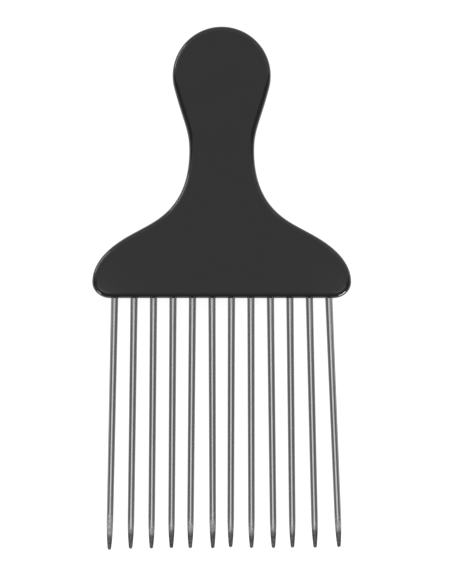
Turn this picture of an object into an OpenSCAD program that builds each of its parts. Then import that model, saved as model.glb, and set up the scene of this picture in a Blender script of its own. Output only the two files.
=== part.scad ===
// Wide-toothed lifting comb: a flat moulded handle that holds a row of twelve straight steel pins.
// It lies on its back. +X is across the pins, +Y runs from the pins' points to the head of the handle
// and +Z comes up out of the front face. The origin is under the middle of the whole comb.
// Lengths are in millimetres and angles in degrees.

/* [Bar of the handle] */
// Width of the bar at its widest place
bar_w = 86.3; // [76:0.1:110]
// Height of that widest place above the lower edge
widest_up = 5.4; // [4:0.1:8]
// How far each lower corner curves in before the lower edge runs straight
corner_in = 6; // [4:0.1:10]
// Height of plastic from the ends of the pins' roots up to where the shoulders turn
root_cover = 8.7; // [7:0.1:14]
// Width between the shoulders where their curve turns from bulging out to sweeping in
turn_w = 55.2; // [46:0.1:62]

/* [Neck and head of the handle] */
// Height from the turn of the shoulders to the narrowest place of the neck
flank_h = 26.5; // [20:0.1:40]
// Width of the neck at its narrowest place
neck_w = 21.7; // [16:0.1:26]
// Height from the narrowest place of the neck to the centre of the round head
neck_to_head = 24.9; // [18:0.1:40]
// Diameter of the round head
head_d = 32.8; // [29:0.1:44]

/* [Thickness of the handle] */
// Thickness from the back face to the front face
handle_thick = 10; // [8:0.1:14]
// Radius of the rounding along the front and back edges
edge_r = 2; // [0.8:0.1:3]

/* [Pins] */
// Diameter of a pin where it leaves the handle
pin_d = 2.4; // [1.8:0.05:2.8]
// Diameter of a pin where its ground point begins
pin_end_d = 2.2; // [1.7:0.05:2.6]
// Length of the shortest pin outside the handle
pin_out = 83.1; // [50:0.1:120]
// Length of the ground point at the end of a pin
point_len = 10.5; // [6:0.1:20]
// Radius of the blunt tip of a point
tip_r = 0.6; // [0.2:0.05:0.8]
// Distance of the two end pins in from where the lower edge stops being straight
end_pin_in = 1.4; // [0:0.05:4]
// How much further out the longest pin stands than the shortest
uneven = 0.9; // [0:0.1:2]
// Sideways lean of the pin that leans most
most_lean = 2.35; // [0:0.05:3]

/* [Roots of the pins] */
// Length of a pin's root inside the handle
root_len = 14; // [10:0.1:20]
// Width of a lock groove round the root, measured at the root's surface
groove_w = 1.6; // [1:0.1:2]
// Depth of a lock groove
groove_depth = 0.25; // [0.1:0.05:0.4]
// Bevel round the cut end of the root
root_bevel = 0.2; // [0.1:0.05:0.4]
// Clearance all round a root in the plastic that was moulded over it
fit = 0.02; // [0.01:0.01:0.1]

/* [Hidden] */
// One entry for each pin from left to right: its lean as a share of most_lean, positive to the right
lean_shares = [-0.51, -0.34, -0.21, -0.16, -0.22, 0.08, -0.08, 0.06, 0.3, 0.26, 0.57, 1];
// One entry for each pin: how far it stands out past the shortest, as a share of uneven
out_shares = [1, 0.6, 0.5, 0.35, 0.4, 0.4, 0.05, 0.3, 0.3, 0.2, 0.2, 0.05];
pin_count = len(lean_shares);
groove_count = 2;

// Where the side curves head, measured from straight up and positive towards the centre line
turn_lean = 61;
throat_lean = -15;
// Each curve's two control points lie along its end headings, at these shares of its straight length
shoulder_pull_shares = [0.42, 0.17];
flank_pull_shares = [0.21, 0.6];
throat_pull_shares = [0.32, 0.57];

// Heights above the lower edge and places across the handle
turn_up = root_len + root_cover;
neck_up = turn_up + flank_h;
head_up = neck_up + neck_to_head;
head_r = head_d / 2;
handle_len = head_up + head_r;
straight_half = bar_w / 2 - corner_in;
first_pin_x = end_pin_in - straight_half;
pin_pitch = -2 * first_pin_x / (pin_count - 1);
pin_up = handle_thick / 2;

// How far a pin reaches below the lower edge: its round tip is the lowest place, whichever way it leans
function pin_reach(k) = (pin_out + uneven * out_shares[k] - tip_r) * cos(most_lean * lean_shares[k]) + tip_r;
longest_reach = max([for (k = [0 : pin_count - 1]) pin_reach(k)]);
// The lower edge's place along the comb, which puts the origin under the middle of the whole length
edge_y = (longest_reach - handle_len) / 2;

// Steps round each stretch of the outline, over the rounded edges and along the points
corner_steps = 12;
shoulder_steps = 16;
flank_steps = 18;
throat_steps = 14;
head_steps = 26;
edge_steps = 6;
point_steps = 10;
tip_steps = 5;
round_faces = 64;
overrun = 1;

handle_colour = "#363636";
steel_colour = "#9c9c9c";

function pin_name(k) = str("pin_", k + 1 < 10 ? "0" : "", k + 1);

// Direction at an angle from straight up, positive towards the centre line
function heading(angle) = [-sin(angle), cos(angle)];

// Direction facing out of the handle, for an outline that heads this way up its right-hand side
function facing(along) = [along.y, -along.x] / norm(along);

// One stretch of the outline: a cubic curve that leaves p at one heading and reaches q at another.
// Every entry of an outline is a point with the direction that faces out of the handle there.
function stretch(p, p_lean, q, q_lean, pull_shares, steps) =
    let (
        span = norm(q - p),
        p_pull = p + heading(p_lean) * span * pull_shares[0],
        q_pull = q - heading(q_lean) * span * pull_shares[1]
    )
    [
        for (k = [1 : steps])
            let (
                t = k / steps,
                s = 1 - t,
                place = s^3 * p + 3 * s^2 * t * p_pull + 3 * s * t^2 * q_pull + t^3 * q,
                along = s^2 * (p_pull - p) + 2 * s * t * (q_pull - p_pull) + t^2 * (q - q_pull)
            )
            [place, facing(along)]
    ];

// The lower corner is a quarter of an ellipse, from the straight edge up to the widest place
corner = [
    for (k = [0 : corner_steps])
        let (a = 90 * k / corner_steps)
        [
            [straight_half + corner_in * sin(a), widest_up * (1 - cos(a))],
            facing([corner_in * cos(a), widest_up * sin(a)])
        ]
];
widest_place = [bar_w / 2, widest_up];
turn_place = [turn_w / 2, turn_up];
neck_place = [neck_w / 2, neck_up];
throat_place = [head_r * cos(throat_lean), head_up + head_r * sin(throat_lean)];
shoulder = stretch(widest_place, 0, turn_place, turn_lean, shoulder_pull_shares, shoulder_steps);
flank = stretch(turn_place, turn_lean, neck_place, 0, flank_pull_shares, flank_steps);
throat = stretch(neck_place, 0, throat_place, throat_lean, throat_pull_shares, throat_steps);
head = [
    for (k = [1 : head_steps - 1])
        let (a = throat_lean + (90 - throat_lean) * k / head_steps)
        [[head_r * cos(a), head_up + head_r * sin(a)], [cos(a), sin(a)]]
];
crown = [[[0, handle_len], [0, 1]]];

// The right-hand side runs up from the lower edge, and the left-hand side mirrors it on the way down
right_side = concat(corner, shoulder, flank, throat, head);
left_side = [
    for (k = [len(right_side) - 1 : -1 : 0])
        let (place = right_side[k][0], out = right_side[k][1])
        [[-place.x, place.y], [-out.x, out.y]]
];
outline = concat(right_side, crown, left_side);

// A plate of even thickness with this outline, its front and back edges rounded to a quarter circle.
// Each level is how far the outline is drawn in and how high it lies. The faces are strips across the plate.
module rounded_plate(outline, thick, r, steps) {
    count = len(outline);
    top = (count - 1) / 2;
    levels = concat(
        [for (k = [0 : steps]) let (a = 90 * k / steps) [r * (1 - sin(a)), r * (1 - cos(a))]],
        [for (k = [steps : -1 : 0]) let (a = 90 * k / steps) [r * (1 - sin(a)), thick - r * (1 - cos(a))]]
    );
    last = (len(levels) - 1) * count;
    points = [
        for (level = levels, entry = outline)
            let (place = entry[0] - level[0] * entry[1])
            [place.x, place.y, level[1]]
    ];
    walls = [
        for (i = [0 : len(levels) - 2], j = [0 : count - 1])
            let (a = i * count + j, b = i * count + (j + 1) % count)
            each [[a, a + count, b + count], [a, b + count, b]]
    ];
    back = [
        for (j = [0 : top - 2])
            let (k = count - 1 - j)
            each [[j, k - 1, k], [j, j + 1, k - 1]]
    ];
    front = [for (face = back) [last + face[0], last + face[2], last + face[1]]];
    back_tip = [top - 1, top, top + 1];
    front_tip = [last + top - 1, last + top + 1, last + top];
    polyhedron(points, concat(walls, back, front, [back_tip, front_tip]));
}

// Half of the root's outline as radius and place along the pin, from its cut end out to the lower edge.
// grow widens it all round for the socket, whose ridges stay as clear of the lock grooves.
function root_half(grow) =
    let (r = pin_d / 2 + grow)
    concat(
        [[0, -root_len], [r - root_bevel, -root_len], [r, root_bevel - root_len]],
        [
            for (k = [1 : groove_count])
                let (
                    middle = root_len * (k / (groove_count + 1) - 1),
                    wide = groove_w / 2 - grow,
                    slim = wide - groove_depth
                )
                each [
                    [r, middle - wide],
                    [r - groove_depth, middle - slim],
                    [r - groove_depth, middle + slim],
                    [r, middle + wide]
                ]
        ]
    );

// The point of a pin is an arc that leaves the shank straight and runs smoothly into the round tip
point_r = pin_end_d / 2;
tip_along = point_len - tip_r;
arc_r = (tip_along^2 + point_r^2 - tip_r^2) / (2 * (point_r - tip_r));
arc_angle = asin(tip_along / (arc_r - tip_r));
point_half = concat(
    [
        for (k = [0 : point_steps - 1])
            let (a = arc_angle * k / point_steps)
            [point_r - arc_r * (1 - cos(a)), arc_r * sin(a)]
    ],
    [
        for (k = [0 : tip_steps])
            let (a = arc_angle + (90 - arc_angle) * k / tip_steps)
            [tip_r * cos(a), tip_along + tip_r * sin(a)]
    ]
);

// Puts a pin's own axis at the pin's place: it turns about the point where it leaves the lower edge
module at_pin(k) {
    lean = most_lean * lean_shares[k];
    translate([first_pin_x + k * pin_pitch, edge_y, pin_up])
        rotate([90, 0, lean])
            translate([0, 0, uneven * out_shares[k]])
                children();
}

// Space that the moulding leaves for one root, open past the lower edge
module socket() {
    mouth_r = pin_d / 2 + fit;
    rotate_extrude($fn = round_faces)
        polygon(concat(root_half(fit), [[mouth_r, overrun], [0, overrun]]));
}

// One straight steel pin: grooved root, gently tapered shank and ground point
module pin(k) {
    point_from = pin_out - point_len;
    shank_and_point = concat([[pin_d / 2, 0]], [for (p = point_half) [p.x, point_from + p.y]]);
    color(steel_colour)
        at_pin(k)
            rotate_extrude($fn = round_faces)
                polygon(concat(root_half(0), shank_and_point));
}

// The whole handle is one moulding, with its sockets filled by the pins' roots
module handle() {
    color(handle_colour)
        difference() {
            translate([0, edge_y, 0])
                rounded_plate(outline, handle_thick, edge_r, edge_steps);
            for (k = [0 : pin_count - 1])
                at_pin(k) socket();
        }
}

handle();
for (k = [0 : pin_count - 1])
    pin(k);
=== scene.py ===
import math

import bpy
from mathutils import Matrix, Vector


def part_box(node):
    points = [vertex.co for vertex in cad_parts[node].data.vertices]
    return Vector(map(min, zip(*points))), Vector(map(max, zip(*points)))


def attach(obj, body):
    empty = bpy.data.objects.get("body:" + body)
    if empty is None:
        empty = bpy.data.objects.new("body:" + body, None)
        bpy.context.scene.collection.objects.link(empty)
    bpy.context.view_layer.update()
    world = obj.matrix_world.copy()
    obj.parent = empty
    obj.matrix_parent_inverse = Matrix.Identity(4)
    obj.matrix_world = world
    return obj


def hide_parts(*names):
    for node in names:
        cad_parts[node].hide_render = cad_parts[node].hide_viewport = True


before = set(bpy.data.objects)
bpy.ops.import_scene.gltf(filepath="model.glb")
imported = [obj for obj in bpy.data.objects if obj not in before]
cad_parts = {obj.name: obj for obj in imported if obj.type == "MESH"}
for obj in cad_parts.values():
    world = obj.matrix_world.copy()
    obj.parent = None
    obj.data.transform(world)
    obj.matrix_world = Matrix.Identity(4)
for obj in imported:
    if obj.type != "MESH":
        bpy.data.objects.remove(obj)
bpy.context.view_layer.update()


# The handle: one injection moulding of black plastic, with a round head for the palm, a narrow neck
# and a wide bar. The two halves of its mould meet half way up the side wall, and it was moulded round
# the pins' roots. It is drawn in finer steps than the CAD handle, so that the gloss runs unbroken.

MM = 0.001
handle_low, handle_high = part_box("handle")
lower_edge = handle_low.y
middle_z = (handle_low.z + handle_high.z) / 2

corner_in, widest_up = 6 * MM, 5.4 * MM
turn_half, turn_up = 27.6 * MM, 22.7 * MM
neck_half, neck_up = 10.85 * MM, 49.2 * MM
head_radius = 16.4 * MM
head_up = handle_high.y - lower_edge - head_radius
turn_lean = math.radians(61)
throat_lean = math.radians(-15)
shoulder_pull_shares = 0.42, 0.17
flank_pull_shares = 0.21, 0.6
throat_pull_shares = 0.32, 0.57
edge_radius = 2 * MM
# each half of the side wall leans in a little, to let the moulding out of its mould
draft_in = 0.04 * MM

# the pins' roots, which the moulding closes round
pin_thick = 2.4 * MM
root_length = 14 * MM
groove_width, groove_depth, root_bevel = 1.6 * MM, 0.25 * MM, 0.2 * MM
fit = 0.02 * MM
# the end pins stand a little in from where the lower edge stops being straight
end_pin_in = 1.4 * MM
first_pin = handle_low.x + corner_in + end_pin_in
most_lean = math.radians(2.35)
uneven = 0.9 * MM
lean_shares = -0.51, -0.34, -0.21, -0.16, -0.22, 0.08, -0.08, 0.06, 0.3, 0.26, 0.57, 1
out_shares = 1, 0.6, 0.5, 0.35, 0.4, 0.4, 0.05, 0.3, 0.3, 0.2, 0.2, 0.05
pin_count = len(lean_shares)


def pin_places():
    """For each pin, where its axis crosses the lower edge, which way it runs, and how far it stands out."""
    pitch = -2 * first_pin / (pin_count - 1)
    for k, (lean_share, out_share) in enumerate(zip(lean_shares, out_shares)):
        lean = most_lean * lean_share
        foot = Vector((first_pin + k * pitch, lower_edge, middle_z))
        yield foot, Vector((math.sin(lean), -math.cos(lean), 0)), uneven * out_share


def side_curve(start, start_lean, end, end_lean, pull_shares, steps):
    """A cubic curve up the right-hand side, as points with the direction that faces out of the handle."""
    span = (end - start).length
    leave = start + Vector((-math.sin(start_lean), math.cos(start_lean))) * span * pull_shares[0]
    reach = end - Vector((-math.sin(end_lean), math.cos(end_lean))) * span * pull_shares[1]
    for step in range(1, steps + 1):
        t = step / steps
        s = 1 - t
        place = s**3 * start + 3 * s * s * t * leave + 3 * s * t * t * reach + t**3 * end
        along = s * s * (leave - start) + 2 * s * t * (reach - leave) + t * t * (end - reach)
        yield place, Vector((along.y, -along.x)).normalized()


def handle_outline():
    """Counterclockwise from the right end of the straight lower edge, round the head, to its left end."""
    right = []
    corner_steps, shoulder_steps, flank_steps, throat_steps, head_steps = 24, 40, 40, 30, 60
    for step in range(corner_steps + 1):
        turn = math.radians(90) * step / corner_steps
        across = handle_high.x - corner_in * (1 - math.sin(turn))
        out = Vector((widest_up * math.sin(turn), -corner_in * math.cos(turn)))
        right.append((Vector((across, widest_up * (1 - math.cos(turn)))), out.normalized()))
    widest = Vector((handle_high.x, widest_up))
    shoulder = Vector((turn_half, turn_up))
    neck = Vector((neck_half, neck_up))
    throat = head_radius * Vector((math.cos(throat_lean), math.sin(throat_lean))) + Vector((0, head_up))
    right += side_curve(widest, 0, shoulder, turn_lean, shoulder_pull_shares, shoulder_steps)
    right += side_curve(shoulder, turn_lean, neck, 0, flank_pull_shares, flank_steps)
    right += side_curve(neck, 0, throat, throat_lean, throat_pull_shares, throat_steps)
    for step in range(1, head_steps):
        angle = throat_lean + (math.radians(90) - throat_lean) * step / head_steps
        out = Vector((math.cos(angle), math.sin(angle)))
        right.append((Vector((0, head_up)) + out * head_radius, out))
    crown = [(Vector((0, head_up + head_radius)), Vector((0, 1)))]
    mirror = Vector((-1, 1))
    left = [(place * mirror, out * mirror) for place, out in reversed(right)]
    return right + crown + left


def handle_mesh():
    """One closed skin with its twelve sockets, and the true direction of the surface at every corner."""
    points, faces, facings = [], [], []

    def put(corners):
        """One face, from (point's index, facing) pairs that run counterclockwise as seen from outside."""
        faces.append([index for index, _ in corners])
        facings.extend(facing for _, facing in corners)

    outline = handle_outline()
    count = len(outline)
    edge_steps = 12
    wall_half = middle_z - handle_low.z - edge_radius
    draft = math.atan(draft_in / wall_half)
    # a level is how far the outline is drawn in, how high it lies, and how far its surface tips up
    lower = []
    for step in range(edge_steps + 1):
        tip = math.radians(90) * (1 - step / edge_steps)
        inset = draft_in + (edge_radius - draft_in) * (1 - math.cos(tip))
        lower.append((inset, handle_low.z + edge_radius * (1 - math.sin(tip)), -max(tip, draft)))
    upper = [(inset, 2 * middle_z - height, -tip) for inset, height, tip in reversed(lower)]
    levels = lower + [(0, middle_z, None)] + upper
    for inset, height, _ in levels:
        for place, out in outline:
            points.append((place.x - out.x * inset, lower_edge + place.y - out.y * inset, height))

    def facing(k, tip):
        out = outline[k][1]
        return out.x * math.cos(tip), out.y * math.cos(tip), math.sin(tip)

    parting = edge_steps + 1
    for level in range(len(levels) - 1):
        below, above = levels[level][2], levels[level + 1][2]
        below = draft if below is None else below
        above = -draft if above is None else above
        in_wall = level in (parting - 1, parting)
        # the last strip runs along the lower edge, where the wall is made with its sockets
        for k in range(count - 1 if in_wall else count):
            a, b = k, (k + 1) % count
            put(
                [
                    (level * count + a, facing(a, below)),
                    (level * count + b, facing(b, below)),
                    (level * count + count + b, facing(b, above)),
                    (level * count + count + a, facing(a, above)),
                ]
            )
    put([(k, (0, 0, -1)) for k in reversed(range(count))])
    put([((len(levels) - 1) * count + k, (0, 0, 1)) for k in range(count)])

    # the sockets: a ring where each opens in the wall of the lower edge, then rings to the root's cut end
    sides = 32
    socket_radius = pin_thick / 2 + fit
    groove_half = groove_width / 2 - fit
    profile = []
    for middle in (-root_length / 3, -root_length * 2 / 3):
        for along, narrow in ((groove_half, 0), (groove_half - groove_depth, 1)):
            profile.append((middle + along, socket_radius - narrow * groove_depth))
        for along, narrow in ((groove_depth - groove_half, 1), (-groove_half, 0)):
            profile.append((middle + along, socket_radius - narrow * groove_depth))
    profile += [(root_bevel - root_length, socket_radius), (-root_length, socket_radius - root_bevel)]
    mouths = []
    for foot, axis, stand_out in pin_places():
        across = Vector((-axis.y, axis.x, 0))
        rounds = []
        for side in range(sides):
            angle = 2 * math.pi * side / sides
            rounds.append(across * math.cos(angle) + Vector((0, 0, math.sin(angle))))
        mouth = []
        for turn in rounds:
            inset = draft_in * abs(turn.z) * socket_radius / wall_half
            back = (turn.y * socket_radius - inset) / -axis.y
            mouth.append(foot + axis * back + turn * socket_radius)
        rings = [mouth]
        for along, radius in profile:
            rings.append([foot + axis * (along + stand_out) + turn * radius for turn in rounds])
        start = len(points)
        points.extend(place[:] for ring in rings for place in ring)
        mouths.append([start + side for side in range(sides)])
        for ring in range(len(rings) - 1):
            for side in range(sides):
                a, b = side, (side + 1) % sides
                put(
                    [
                        (start + ring * sides + b, (-rounds[b])[:]),
                        (start + ring * sides + a, (-rounds[a])[:]),
                        (start + ring * sides + sides + a, (-rounds[a])[:]),
                        (start + ring * sides + sides + b, (-rounds[b])[:]),
                    ]
                )
        last = start + (len(rings) - 1) * sides
        put([(last + side, axis[:]) for side in range(sides)])

    # the wall of the lower edge, in two halves that are notched round the sockets' mouths
    half = sides // 2
    over = [mouth[side] for mouth in mouths for side in range(half, -1, -1)]
    under = [mouth[side % sides] for mouth in reversed(mouths) for side in range(sides, half - 1, -1)]
    right_end, left_end = parting * count, parting * count + count - 1
    upper_half = [left_end, *over, right_end, right_end + count, left_end + count]
    lower_half = [left_end - count, right_end - count, right_end, *under, left_end]
    put([(k, facing(0, draft)) for k in upper_half])
    put([(k, facing(0, -draft)) for k in lower_half])

    mesh = bpy.data.meshes.new("handle_moulding")
    mesh.from_pydata(points, [], faces)
    mesh.shade_smooth()
    mesh.normals_split_custom_set(facings)
    return mesh


def linear(hex_colour):
    """An sRGB hex colour as the linear values that Blender works with."""
    channels = [int(hex_colour[k : k + 2], 16) / 255 for k in (1, 3, 5)]
    return [c / 12.92 if c <= 0.04045 else ((c + 0.055) / 1.055) ** 2.4 for c in channels] + [1]


def add(tree, kind, inputs={}, output=0, **settings):
    """Adds one node with its settings, sets or links its inputs, and gives one of its outputs."""
    node = tree.nodes.new(kind)
    for name, value in settings.items():
        setattr(node, name, value)
    for name, value in inputs.items():
        if isinstance(value, bpy.types.NodeSocket):
            tree.links.new(value, node.inputs[name])
        else:
            node.inputs[name].default_value = value
    return node.outputs[output] if len(node.outputs) else None


# nearly all the values of a noise texture lie between these
noise_low, noise_high = 0.3, 0.7


def black_moulded_plastic():
    """Black polystyrene from a polished mould: an even black with a clear, very slightly uneven gloss."""
    # the skin of the moulding waves very slightly, and has the fine grain that the polished mould left
    wave_width, wave_height = 9 * MM, 0.01 * MM
    grain_width, grain_height = 0.3 * MM, 0.001 * MM
    least_rough, most_rough = 0.08, 0.11
    deep_black, pale_black = linear("#0d0d0d"), linear("#121212")
    material = bpy.data.materials.new("black_moulded_plastic")
    material.use_nodes = True
    tree = material.node_tree
    tree.nodes.clear()
    place = add(tree, "ShaderNodeTexCoord", output="Object")
    waves = add(tree, "ShaderNodeTexNoise", {"Vector": place, "Scale": 1 / wave_width, "Detail": 1.0})
    swell = add(tree, "ShaderNodeBump", {"Height": waves, "Distance": wave_height})
    # the grain is drawn as coarse as it needs to show, and is seen only as a slightly softer gloss
    grain = add(tree, "ShaderNodeTexNoise", {"Vector": place, "Scale": 1 / grain_width, "Detail": 3.0})
    skin = add(tree, "ShaderNodeBump", {"Height": grain, "Distance": grain_height, "Normal": swell})
    gloss = add(
        tree,
        "ShaderNodeMapRange",
        {
            "Value": grain,
            "From Min": noise_low,
            "From Max": noise_high,
            "To Min": least_rough,
            "To Max": most_rough,
        },
    )
    black = add(
        tree,
        "ShaderNodeMix",
        {"Factor": waves, "A": deep_black, "B": pale_black},
        output="Result",
        data_type="RGBA",
    )
    shader = add(
        tree,
        "ShaderNodeBsdfPrincipled",
        {"Base Color": black, "Roughness": gloss, "IOR": 1.45, "Normal": skin},
    )
    add(tree, "ShaderNodeOutputMaterial", {"Surface": shader})
    return material


handle = bpy.data.objects.new("handle_moulding", handle_mesh())
bpy.context.scene.collection.objects.link(handle)
handle.data.materials.append(black_moulded_plastic())
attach(handle, "root")
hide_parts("handle")


# The pins: twelve pieces of hard drawn steel wire, each with a ground point and a grooved root in the
# handle. They were laid in the mould in a row, and no two lean or stand out quite alike.

pin_end_thick = 2.2 * MM
pin_out = 83.1 * MM
point_length, tip_radius = 10.5 * MM, 0.6 * MM


def drawn_steel_wire():
    """Hard drawn steel wire, polished bright, with fine lines along it, and dull where it was ground."""
    # the die leaves fine lines that run on for millimetres, and grinding leaves pits and short marks
    line_width, mark_width, relief_height = 0.15 * MM, 0.4 * MM, 0.002 * MM
    # the polish fades out slowly where the grinding begins, and the steel turns dark more abruptly
    dull_fade, dark_fade, ragged_by = 4 * MM, 1.2 * MM, 1.4 * MM
    polished_rough, ground_rough = 0.09, 0.46
    # the steel's own grey, and the greys of the pits and specks where it is dull and where it is dark
    polished_grey, grazing_tint = linear("#9f9f9f"), linear("#404040")
    dull_pit, dull_speck = linear("#848484"), linear("#bababa")
    dark_pit, dark_speck = linear("#3e3e3e"), linear("#727272")
    material = bpy.data.materials.new("drawn_steel_wire")
    material.use_nodes = True
    tree = material.node_tree
    tree.nodes.clear()
    # a place on the wire, whose length is Z, and how far it is past the start of the dull and the dark end
    place = add(tree, "ShaderNodeAttribute", output="Vector", attribute_name="wire_place")
    past_dull = add(tree, "ShaderNodeAttribute", output="Fac", attribute_name="past_dull")
    past_dark = add(tree, "ShaderNodeAttribute", output="Fac", attribute_name="past_dark")
    # the lines are fifty times as long as they are wide, and the marks twice as long
    drawn = add(tree, "ShaderNodeMapping", {"Vector": place, "Scale": (1, 1, 1 / 50)})
    lines = add(tree, "ShaderNodeTexNoise", {"Vector": drawn, "Scale": 1 / line_width, "Detail": 2.0})
    ground = add(tree, "ShaderNodeMapping", {"Vector": place, "Scale": (1, 1, 1 / 2)})
    marks = add(tree, "ShaderNodeTexNoise", {"Vector": ground, "Scale": 1 / mark_width, "Detail": 3.0})
    # the marks fray the edges of the dull and the dark end
    ragged = add(
        tree,
        "ShaderNodeMapRange",
        {
            "Value": marks,
            "From Min": noise_low,
            "From Max": noise_high,
            "To Min": -ragged_by,
            "To Max": ragged_by,
        },
    )
    worn = add(tree, "ShaderNodeMath", {0: past_dull, 1: ragged}, operation="ADD")
    dull = add(tree, "ShaderNodeMapRange", {"Value": worn, "From Max": dull_fade})
    # the steel turns a darker grey over the last few millimetres of each point, with a frayed edge
    into_dark_end = add(tree, "ShaderNodeMath", {0: past_dark, 1: ragged}, operation="ADD")
    dark = add(tree, "ShaderNodeMapRange", {"Value": into_dark_end, "From Max": dark_fade})
    relief = add(tree, "ShaderNodeMix", {"Factor": dull, "A": lines, "B": marks}, data_type="FLOAT")
    surface = add(tree, "ShaderNodeBump", {"Height": relief, "Distance": relief_height})
    rough = add(
        tree,
        "ShaderNodeMapRange",
        {"Value": dull, "To Min": polished_rough, "To Max": ground_rough},
    )
    # bright specks between dark pits, with a fairly sharp edge
    pit_below, speck_above = 0.35, 0.65
    speck = add(
        tree,
        "ShaderNodeMapRange",
        {"Value": marks, "From Min": pit_below, "From Max": speck_above},
    )
    pitted = add(
        tree,
        "ShaderNodeMix",
        {"Factor": speck, "A": dull_pit, "B": dull_speck},
        output="Result",
        data_type="RGBA",
    )
    tip = add(
        tree,
        "ShaderNodeMix",
        {"Factor": speck, "A": dark_pit, "B": dark_speck},
        output="Result",
        data_type="RGBA",
    )
    polished = add(
        tree,
        "ShaderNodeMix",
        {"Factor": dull, "A": polished_grey, "B": pitted},
        output="Result",
        data_type="RGBA",
    )
    steel = add(
        tree,
        "ShaderNodeMix",
        {"Factor": dark, "A": polished, "B": tip},
        output="Result",
        data_type="RGBA",
    )
    shader = add(
        tree,
        "ShaderNodeBsdfPrincipled",
        {
            "Base Color": steel,
            "Metallic": 1.0,
            "Specular Tint": grazing_tint,
            "Roughness": rough,
            "Normal": surface,
        },
    )
    add(tree, "ShaderNodeOutputMaterial", {"Surface": shader})
    return material


def wire_pin_tree():
    """Turns a flat grid into one pin: its columns go round the wire, and its rows run from root to tip."""
    tree = bpy.data.node_groups.new("wire_pin", "GeometryNodeTree")
    kinds = {
        "Root radius": "Float",
        "Root length": "Float",
        "Root bevel": "Float",
        "Groove width": "Float",
        "Groove depth": "Float",
        "Shank length": "Float",
        "Shank narrowing": "Float",
        "Arc centre": "Vector",
        "Arc angle": "Float",
        "Tip centre": "Vector",
        "Tip angle": "Float",
        "Dull from": "Float",
        "Dark from": "Float",
        "Cut from": "Float",
        "Place": "Vector",
        "Turn": "Rotation",
        "Steel": "Material",
    }
    tree.interface.new_socket(name="Geometry", in_out="INPUT", socket_type="NodeSocketGeometry")
    for name, kind in kinds.items():
        tree.interface.new_socket(name=name, in_out="INPUT", socket_type="NodeSocket" + kind)
    tree.interface.new_socket(name="Geometry", in_out="OUTPUT", socket_type="NodeSocketGeometry")
    size = tree.nodes.new("NodeGroupInput").outputs

    # the columns round the wire, and the rows where the root, the shank, the point's arc and the tip end
    columns = 49
    root_row, shank_row, arc_row, tip_row = 43.0, 61.0, 101.0, 120.0
    grid = add(
        tree,
        "GeometryNodeMeshGrid",
        {"Size X": 1.0, "Size Y": 1.0, "Vertices X": columns, "Vertices Y": int(tip_row) + 1},
    )
    across = add(tree, "ShaderNodeSeparateXYZ", {0: grid.node.outputs["UV Map"]})
    row = add(tree, "ShaderNodeMath", {0: across.node.outputs["Y"], 1: tip_row}, operation="MULTIPLY")

    # the root: the first row closes its cut end, and the second ends the bevel round it
    cut_radius = add(
        tree,
        "ShaderNodeMath",
        {0: size["Root radius"], 1: size["Root bevel"]},
        operation="SUBTRACT",
    )
    cut_end = add(tree, "ShaderNodeMapRange", {"Value": row, "From Max": 1.0, "To Max": cut_radius})
    bevel = add(
        tree,
        "ShaderNodeMapRange",
        {"Value": row, "From Min": 1.0, "From Max": 2.0, "To Max": size["Root bevel"]},
    )
    ungrooved = add(tree, "ShaderNodeMath", {0: cut_end, 1: bevel}, operation="ADD")
    up_root = add(
        tree,
        "ShaderNodeMapRange",
        {"Value": row, "From Min": 1.0, "From Max": root_row, "To Max": size["Root length"]},
    )
    # two grooves lie a sixth of the root's length off its middle
    half_root = add(tree, "ShaderNodeMath", {0: size["Root length"], 1: 0.5}, operation="MULTIPLY")
    sixth_root = add(tree, "ShaderNodeMath", {0: size["Root length"], 1: 1 / 6}, operation="MULTIPLY")
    from_middle = add(tree, "ShaderNodeMath", {0: up_root, 1: half_root}, operation="SUBTRACT")
    either_way = add(tree, "ShaderNodeMath", {0: from_middle}, operation="ABSOLUTE")
    past_groove = add(tree, "ShaderNodeMath", {0: either_way, 1: sixth_root}, operation="SUBTRACT")
    from_groove = add(tree, "ShaderNodeMath", {0: past_groove}, operation="ABSOLUTE")
    groove_half = add(tree, "ShaderNodeMath", {0: size["Groove width"], 1: 0.5}, operation="MULTIPLY")
    groove_flat = add(
        tree,
        "ShaderNodeMath",
        {0: groove_half, 1: size["Groove depth"]},
        operation="SUBTRACT",
    )
    groove = add(
        tree,
        "ShaderNodeMapRange",
        {
            "Value": from_groove,
            "From Min": groove_flat,
            "From Max": groove_half,
            "To Min": size["Groove depth"],
            "To Max": 0.0,
        },
    )
    # the shank narrows evenly from the handle to the point
    up_shank = add(
        tree,
        "ShaderNodeMapRange",
        {"Value": row, "From Min": root_row, "From Max": shank_row, "To Max": size["Shank length"]},
    )
    narrowing = add(
        tree,
        "ShaderNodeMapRange",
        {"Value": row, "From Min": root_row, "From Max": shank_row, "To Max": size["Shank narrowing"]},
    )
    grooved = add(tree, "ShaderNodeMath", {0: ungrooved, 1: groove}, operation="SUBTRACT")
    radius = add(tree, "ShaderNodeMath", {0: grooved, 1: narrowing}, operation="SUBTRACT")
    from_cut_end = add(tree, "ShaderNodeMath", {0: up_root, 1: up_shank}, operation="ADD")
    along = add(tree, "ShaderNodeMath", {0: from_cut_end, 1: size["Root length"]}, operation="SUBTRACT")
    profile = add(tree, "ShaderNodeCombineXYZ", {"X": radius, "Z": along})
    # the point: the profile swings in along an arc, and then round the blunt tip
    swing = add(
        tree,
        "ShaderNodeMapRange",
        {"Value": row, "From Min": shank_row, "From Max": arc_row, "To Max": size["Arc angle"]},
    )
    on_arc = add(
        tree,
        "ShaderNodeVectorRotate",
        {"Vector": profile, "Center": size["Arc centre"], "Axis": (0, -1, 0), "Angle": swing},
    )
    close = add(
        tree,
        "ShaderNodeMapRange",
        {"Value": row, "From Min": arc_row, "From Max": tip_row, "To Max": size["Tip angle"]},
    )
    on_tip = add(
        tree,
        "ShaderNodeVectorRotate",
        {"Vector": on_arc, "Center": size["Tip centre"], "Axis": (0, -1, 0), "Angle": close},
    )
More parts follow.
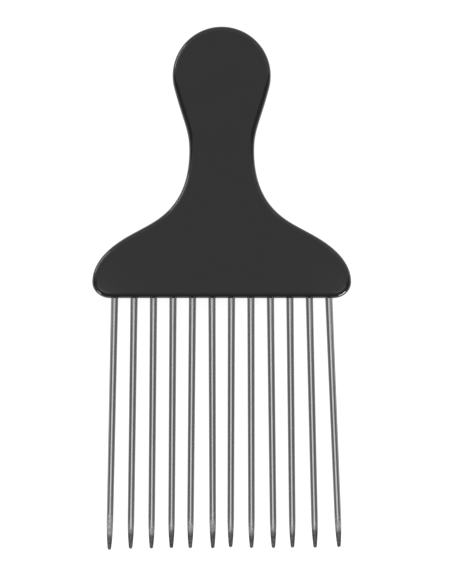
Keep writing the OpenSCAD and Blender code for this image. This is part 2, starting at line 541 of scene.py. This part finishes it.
    # the columns carry the profile round the wire
    turned = add(tree, "ShaderNodeMath", {0: across, 1: 2 * math.pi}, operation="MULTIPLY")
    surface = add(tree, "ShaderNodeVectorRotate", {"Vector": on_tip, "Axis": (0, 0, 1), "Angle": turned})
    shape = add(tree, "GeometryNodeSetPosition", {"Geometry": grid, "Position": surface})
    # where this skin lay on the long wire that the pins were cut from
    cut = add(tree, "ShaderNodeCombineXYZ", {"Z": size["Cut from"]})
    on_wire = add(tree, "ShaderNodeVectorMath", {0: surface, 1: cut}, operation="ADD")
    shape = add(
        tree,
        "GeometryNodeStoreNamedAttribute",
        {"Geometry": shape, "Name": "wire_place", "Value": on_wire},
        data_type="FLOAT_VECTOR",
    )
    # and how far it is past the places where the pin turns dull and dark
    reach = add(tree, "ShaderNodeSeparateXYZ", {0: surface}, output="Z")
    for name, begin in (("past_dull", "Dull from"), ("past_dark", "Dark from")):
        past = add(tree, "ShaderNodeMath", {0: reach, 1: size[begin]}, operation="SUBTRACT")
        shape = add(
            tree,
            "GeometryNodeStoreNamedAttribute",
            {"Geometry": shape, "Name": name, "Value": past},
            data_type="FLOAT",
        )
    # the seam along the wire and the two ends are closed
    weld = 0.001 * MM
    shape = add(tree, "GeometryNodeMergeByDistance", {"Geometry": shape, "Distance": weld})
    shape = add(
        tree,
        "GeometryNodeTransform",
        {"Geometry": shape, "Translation": size["Place"], "Rotation": size["Turn"]},
    )
    shape = add(tree, "GeometryNodeSetShadeSmooth", {"Geometry": shape})
    shape = add(tree, "GeometryNodeRealizeInstances", {"Geometry": shape})
    shape = add(tree, "GeometryNodeSetMaterial", {"Geometry": shape, "Material": size["Steel"]})
    add(tree, "NodeGroupOutput", {"Geometry": shape})
    return tree


pin_tree = wire_pin_tree()
steel_wire = drawn_steel_wire()
point_radius = pin_end_thick / 2
point_from = pin_out - point_length
tip_along = point_length - tip_radius
arc_radius = (tip_along**2 + point_radius**2 - tip_radius**2) / (2 * (point_radius - tip_radius))
arc_angle = math.asin(tip_along / (arc_radius - tip_radius))
# each point was ground by hand, so the lengths that turned dull and dark differ from pin to pin, in mm
dull_lengths = 13.3, 9, 9.7, 8.7, 10.7, 12, 8.7, 9.3, 8.7, 7.7, 8.3, 11.3
dark_lengths = 5.4, 6.2, 5.3, 6.5, 6.1, 6.2, 5.8, 5.3, 6, 5.8, 6.7, 6
for number, (foot, axis, stand_out) in enumerate(pin_places(), start=1):
    blank = bpy.data.objects.new("pin_blank", bpy.data.meshes.new("pin_blank"))
    bpy.context.scene.collection.objects.link(blank)
    modifier = blank.modifiers.new("wire_pin", "NODES")
    modifier.node_group = pin_tree
    values = {
        "Root radius": pin_thick / 2,
        "Root length": root_length,
        "Root bevel": root_bevel,
        "Groove width": groove_width,
        "Groove depth": groove_depth,
        "Shank length": point_from,
        "Shank narrowing": (pin_thick - pin_end_thick) / 2,
        "Arc centre": (point_radius - arc_radius, 0, point_from),
        "Arc angle": arc_angle,
        "Tip centre": (0, 0, point_from + tip_along),
        "Tip angle": math.radians(90) - arc_angle,
        "Dull from": pin_out - dull_lengths[number - 1] * MM,
        "Dark from": pin_out - dark_lengths[number - 1] * MM,
        "Cut from": number * (root_length + pin_out),
        "Place": (foot + axis * stand_out)[:],
        "Turn": (math.radians(90), 0, math.atan2(axis.x, -axis.y)),
        "Steel": steel_wire,
    }
    for socket in pin_tree.interface.items_tree:
        if socket.name in values:
            modifier[socket.identifier] = values[socket.name]
    evaluated = blank.evaluated_get(bpy.context.evaluated_depsgraph_get())
    pin = bpy.data.objects.new(f"wire_pin_{number:02d}", bpy.data.meshes.new_from_object(evaluated))
    bpy.data.objects.remove(blank)
    bpy.context.scene.collection.objects.link(pin)
    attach(pin, "root")
    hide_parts(f"pin_{number:02d}")


# The floor: a wide flat sheet of matt white paper, cut round, that lies under the comb.
# It isn't part of the comb.


def white_paper():
    """Matt white paper, which looks plain white except where the comb shades it."""
    # this much of its white is there for the camera and in mirror images, however the lamps fall on it
    glow_share = 0.86
    material = bpy.data.materials.new("white_paper")
    material.use_nodes = True
    tree = material.node_tree
    tree.nodes.clear()
    paper = add(tree, "ShaderNodeBsdfDiffuse", {"Color": linear("#a0a0a0")})
    rays = add(tree, "ShaderNodeLightPath")
    camera_ray, glossy_ray = rays.node.outputs["Is Camera Ray"], rays.node.outputs["Is Glossy Ray"]
    through_ray = rays.node.outputs["Is Transmission Ray"]
    seen = add(tree, "ShaderNodeMath", {0: camera_ray, 1: glossy_ray}, operation="MAXIMUM")
    seen = add(tree, "ShaderNodeMath", {0: seen, 1: through_ray}, operation="MAXIMUM")
    lift = add(tree, "ShaderNodeMath", {0: seen, 1: glow_share}, operation="MULTIPLY")
    glow = add(tree, "ShaderNodeEmission", {"Strength": lift})
    both = add(tree, "ShaderNodeAddShader", {0: paper, 1: glow})
    add(tree, "ShaderNodeOutputMaterial", {"Surface": both})
    return material


def paper_disc():
    """A wide flat disc, as rings of points round its middle."""
    sides = 96
    radii = 0.3, 1.0, 3.0
    points = [(0, 0, 0)]
    for radius in radii:
        for side in range(sides):
            angle = 2 * math.pi * side / sides
            points.append((radius * math.cos(angle), radius * math.sin(angle), 0))
    faces = [(0, 1 + side, 1 + (side + 1) % sides) for side in range(sides)]
    for ring in range(len(radii) - 1):
        for side in range(sides):
            a, b = 1 + ring * sides + side, 1 + ring * sides + (side + 1) % sides
            faces.append((a, a + sides, b + sides, b))
    mesh = bpy.data.meshes.new("paper_disc")
    mesh.from_pydata(points, [], faces)
    return mesh


floor = bpy.data.objects.new("paper_disc", paper_disc())
bpy.context.scene.collection.objects.link(floor)
floor.data.materials.append(white_paper())


# The light: level panels overhead, with a bright strip on each side of the camera, wide soft panels at
# the back and the sides, and two small lamps low in front of the bar's corners. The room between them is
# dim, which leaves dark lines along the gloss of the plastic and the steel.


def soft_panel(name, place, aim, size, radiance):
    """A flat soft light that looks as bright as radiance from anywhere, 1 being the white of the floor."""
    width, height = size
    lamp = bpy.data.lights.new(name, "AREA")
    lamp.shape = "RECTANGLE"
    lamp.size, lamp.size_y = width, height
    lamp.energy = radiance * math.pi * width * height
    panel = bpy.data.objects.new(name, lamp)
    panel.location = place
    panel.rotation_euler = (Vector(aim) - Vector(place)).to_track_quat("-Z", "Y").to_euler()
    bpy.context.scene.collection.objects.link(panel)


def level_panel(name, up, across, along, radiance):
    """A soft panel that hangs level this far up, from one place to another across and along the comb."""
    left, right = across
    front, back = along
    middle = Vector(((left + right) / 2, (front + back) / 2, up))
    # a hair's breadth off straight down, so that its width stays across the comb
    aim = Vector((middle.x, middle.y + 0.1 * MM, 0))
    soft_panel(name, middle, aim, (right - left, back - front), radiance)


# the ceiling lights the flat face of the handle evenly, and is narrower or dimmer over the pins
ceiling_up = 1.6
level_panel("ceiling_back", ceiling_up, across=(-2.4, 2.4), along=(-0.012, 1.9), radiance=0.6)
level_panel("ceiling_middle", ceiling_up, across=(-0.1, 0.1), along=(-0.25, -0.012), radiance=0.6)
level_panel("ceiling_front", ceiling_up, across=(-2.0, 2.0), along=(-1.7, -0.25), radiance=0.3)
# the strips draw the bright line down the middle of each pin, brightest near the handle
strips_up = 0.7
left_of_camera, right_of_camera = (-0.28, -0.066), (0.066, 0.22)
over_pins, near_handle = (-0.19, -0.0035), (-0.08, -0.0035)
level_panel("strip_left", strips_up, left_of_camera, over_pins, radiance=2.0)
level_panel("strip_right", strips_up, right_of_camera, over_pins, radiance=2.0)
level_panel("short_strip_left", strips_up, left_of_camera, near_handle, radiance=0.9)
level_panel("short_strip_right", strips_up, right_of_camera, near_handle, radiance=0.9)
level_panel("strip_left_end", strips_up, across=(-0.36, -0.066), along=(-0.34, -0.19), radiance=0.7)
# the rounded edge of the handle mirrors these
on_comb, above_comb = (0, 0, 0.01), (0, 0, 0.05)
soft_panel("back_panel", (0, 1.9, 0.95), above_comb, size=(3.6, 1.6), radiance=0.7)
soft_panel("right_panel", (1.75, 0.95, 0.8), above_comb, size=(1.5, 1.5), radiance=0.65)
soft_panel("left_panel", (-1.75, 0.95, 0.8), above_comb, size=(1.5, 1.5), radiance=0.75)
soft_panel("left_strip", (-1.47, 0.85, 0.13), on_comb, size=(0.9, 0.22), radiance=9.0)
soft_panel("left_front_panel", (-1.15, -0.75, 0.75), on_comb, size=(0.9, 0.9), radiance=0.5)
soft_panel("low_left_lamp", (-1.09, -1.26, 0.18), on_comb, size=(0.5, 0.16), radiance=32.0)
soft_panel("low_right_lamp", (0.95, -1.41, 0.13), on_comb, size=(0.75, 0.2), radiance=46.0)

room_radiance = 0.3
room = bpy.data.worlds.new("dim_room")
room.use_nodes = True
room.node_tree.nodes["Background"].inputs["Color"].default_value = linear("#ffffff")
room.node_tree.nodes["Background"].inputs["Strength"].default_value = room_radiance
bpy.context.scene.world = room


# The camera: it looks straight down on the comb through a long lens, with the head of the comb up.
# Its distance gives the comb the size that it has in a picture 584 pixels high.

photo_height = 584
pixels_per_metre = 3000
lens = 200
# the place on the comb that stands in the middle of the picture
view_middle = Vector((1.43 * MM, -1.16 * MM, 6.5 * MM))
camera = bpy.data.objects.new("camera", bpy.data.cameras.new("camera"))
camera.data.lens = lens
camera_up = photo_height / pixels_per_metre * lens / camera.data.sensor_width
camera.location = view_middle + Vector((0, 0, camera_up))
bpy.context.scene.collection.objects.link(camera)
bpy.context.scene.camera = camera
bpy.context.scene.view_settings.view_transform = "Standard"
